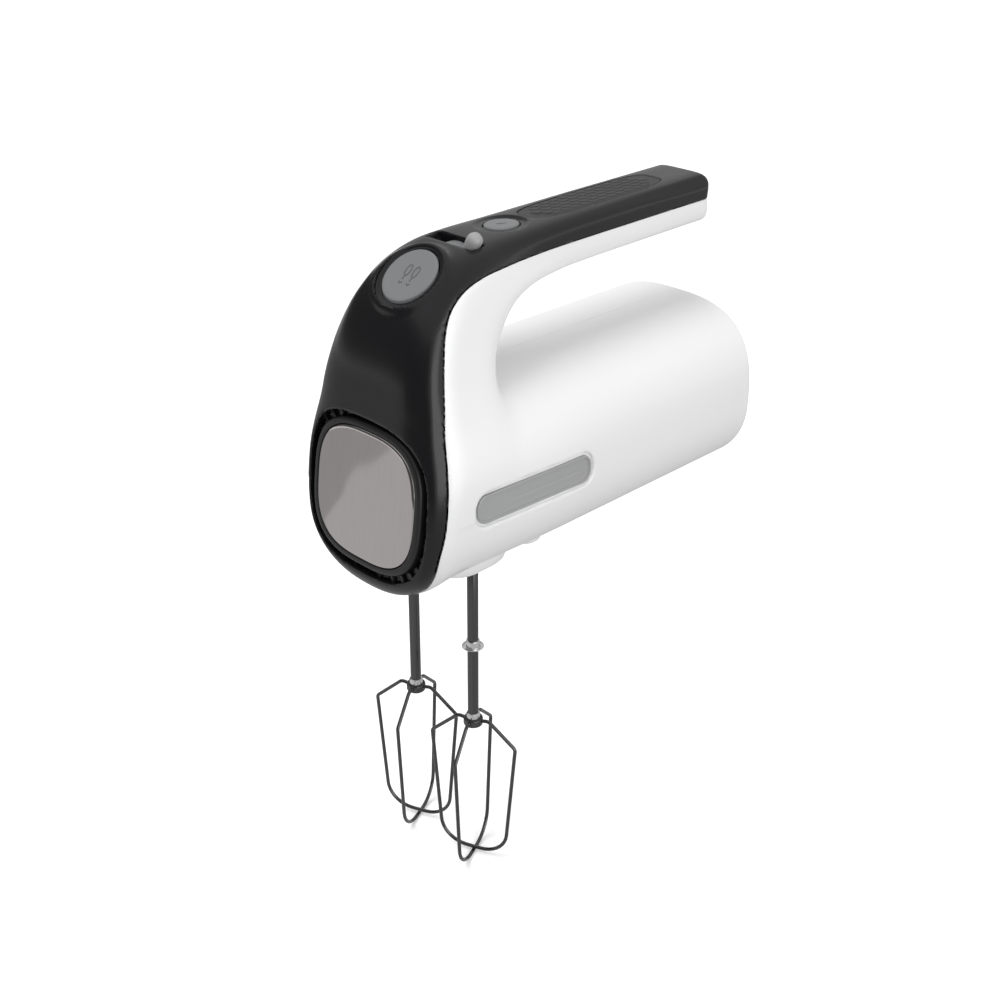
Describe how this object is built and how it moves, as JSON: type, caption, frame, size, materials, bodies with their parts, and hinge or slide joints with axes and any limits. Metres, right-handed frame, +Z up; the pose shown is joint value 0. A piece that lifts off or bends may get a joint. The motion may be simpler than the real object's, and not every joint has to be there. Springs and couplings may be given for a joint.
{
  "type": "hand mixer",
  "caption": "Electric hand mixer with an open-ended loop handle, a speed selector, an ejector and turbo button and twin wire beaters that pull out.",
  "frame": {"origin": "under the middle of the body's length and width, at the height of the beater tips", "axes": "+X forward to the nose plate, +Y to the mixer's left side, +Z up, with the beaters hanging straight down"},
  "size_m": [0.1998, 0.0928, 0.2967],
  "materials": {
    "gloss_white": "satin moulded",
    "satin_black": "semi-gloss moulded",
    "charcoal_plastic": "fine moulded grain",
    "grip_rubber": "soft, textured",
    "nose_metal": "fine brushed",
    "grey_plastic": "satin moulded",
    "bright_steel": "polished",
    "plain_steel": "drawn",
    "core_steel": "laminated",
    "nylon": "moulded",
    "bronze": "sintered",
    "copper": "enamelled",
    "carbon": "pressed",
    "board_green": "coated",
    "wire_sleeve": "smooth"
  },
  "bodies": {
    "root": {"left_housing": "gloss_white", "right_housing": "gloss_white", "heel_plate": "gloss_white", "socket_boss": "gloss_white", "rear_foot": "gloss_white", "front_cover": "satin_black", "nose_bezel": "charcoal_plastic", "cable_gland": "charcoal_plastic", "speed_switch": "charcoal_plastic", "turbo_switch": "charcoal_plastic", "board_parts": "charcoal_plastic", "grip_pad": "grip_rubber", "nose_plate": "nose_metal", "left_trim_plate": "grey_plastic", "right_trim_plate": "grey_plastic", "body_screws": "plain_steel", "ejector_spring": "plain_steel", "selector_axle": "plain_steel", "turbo_spring": "plain_steel", "brush_springs": "plain_steel", "stator_core": "core_steel", "gear_case": "nylon", "gear_cover": "nylon", "bearing_bracket": "nylon", "terminal_block": "nylon", "spindle_bushes": "bronze", "front_bearings": "bronze", "rear_bearing": "bronze", "brush_holders": "bronze", "field_coils": "copper", "brushes": "carbon", "control_board": "board_green", "supply_wires": "wire_sleeve"},
    "rotor": {"rotor_shaft": "plain_steel", "worm": "plain_steel", "armature": "core_steel", "armature_windings": "copper", "commutator": "copper", "fan": "charcoal_plastic"},
    "left_spindle": {"left_worm_wheel": "nylon", "left_spindle": "plain_steel"},
    "right_spindle": {"right_worm_wheel": "nylon", "right_spindle": "plain_steel"},
    "ejector": {"ejector_button": "grey_plastic", "ejector_yoke": "nylon"},
    "left_pusher": {"left_pusher": "nylon"},
    "right_pusher": {"right_pusher": "nylon"},
    "left_beater": {"left_beater_shaft": "bright_steel", "left_beater_hub": "bright_steel", "left_outer_loop": "bright_steel", "left_inner_loop": "bright_steel", "collar_ring": "bright_steel"},
    "right_beater": {"right_beater_shaft": "bright_steel", "right_beater_hub": "bright_steel", "right_outer_loop": "bright_steel", "right_inner_loop": "bright_steel"},
    "selector": {"selector_drum": "grey_plastic", "selector_tab": "grey_plastic"},
    "turbo": {"turbo_button": "grey_plastic"}
  },
  "joints": [
    {"name": "rotor_spin", "type": "hinge", "parent": "root", "child": "rotor", "pos_m": [0, 0, 0.19], "axis": [1, 0, 0], "continuous": true},
    {"name": "left_spindle_spin", "type": "hinge", "parent": "root", "child": "left_spindle", "pos_m": [0.054, 0.019, 0], "axis": [0, 0, 1], "continuous": true},
    {"name": "right_spindle_spin", "type": "hinge", "parent": "root", "child": "right_spindle", "pos_m": [0.054, -0.019, 0], "axis": [0, 0, 1], "continuous": true},
    {"name": "ejector_press", "type": "slide", "parent": "root", "child": "ejector", "axis": [0, 0, -1], "range_m": [0, 0.007], "stiffness_N_per_m": 400, "springref_m": -0.003, "deforming": ["ejector_spring"]},
    {"name": "left_pusher_slide", "type": "slide", "parent": "left_spindle", "child": "left_pusher", "axis": [0, 0, -1], "range_m": [0, 0.007]},
    {"name": "right_pusher_slide", "type": "slide", "parent": "right_spindle", "child": "right_pusher", "axis": [0, 0, -1], "range_m": [0, 0.007]},
    {"name": "left_beater_release", "type": "slide", "parent": "left_pusher", "child": "left_beater", "axis": [0, 0, -1], "range_m": [0, 0.04]},
    {"name": "right_beater_release", "type": "slide", "parent": "right_pusher", "child": "right_beater", "axis": [0, 0, -1], "range_m": [0, 0.04]},
    {"name": "speed_turn", "type": "hinge", "parent": "root", "child": "selector", "pos_m": [0.0445, 0, 0.276], "axis": [1, 0, 0], "range_deg": [0, 68]},
    {"name": "turbo_press", "type": "slide", "parent": "root", "child": "turbo", "axis": [0, 0, -1], "range_m": [0, 0.002], "stiffness_N_per_m": 500, "springref_m": -0.002, "deforming": ["turbo_spring"]}
  ],
  "couplings": [
    {"joint": "left_spindle_spin", "follows": "rotor_spin", "ratio": -0.027027},
    {"joint": "right_spindle_spin", "follows": "rotor_spin", "ratio": 0.027027},
    {"joint": "left_pusher_slide", "follows": "ejector_press", "ratio": 1},
    {"joint": "right_pusher_slide", "follows": "ejector_press", "ratio": 1}
  ]
}
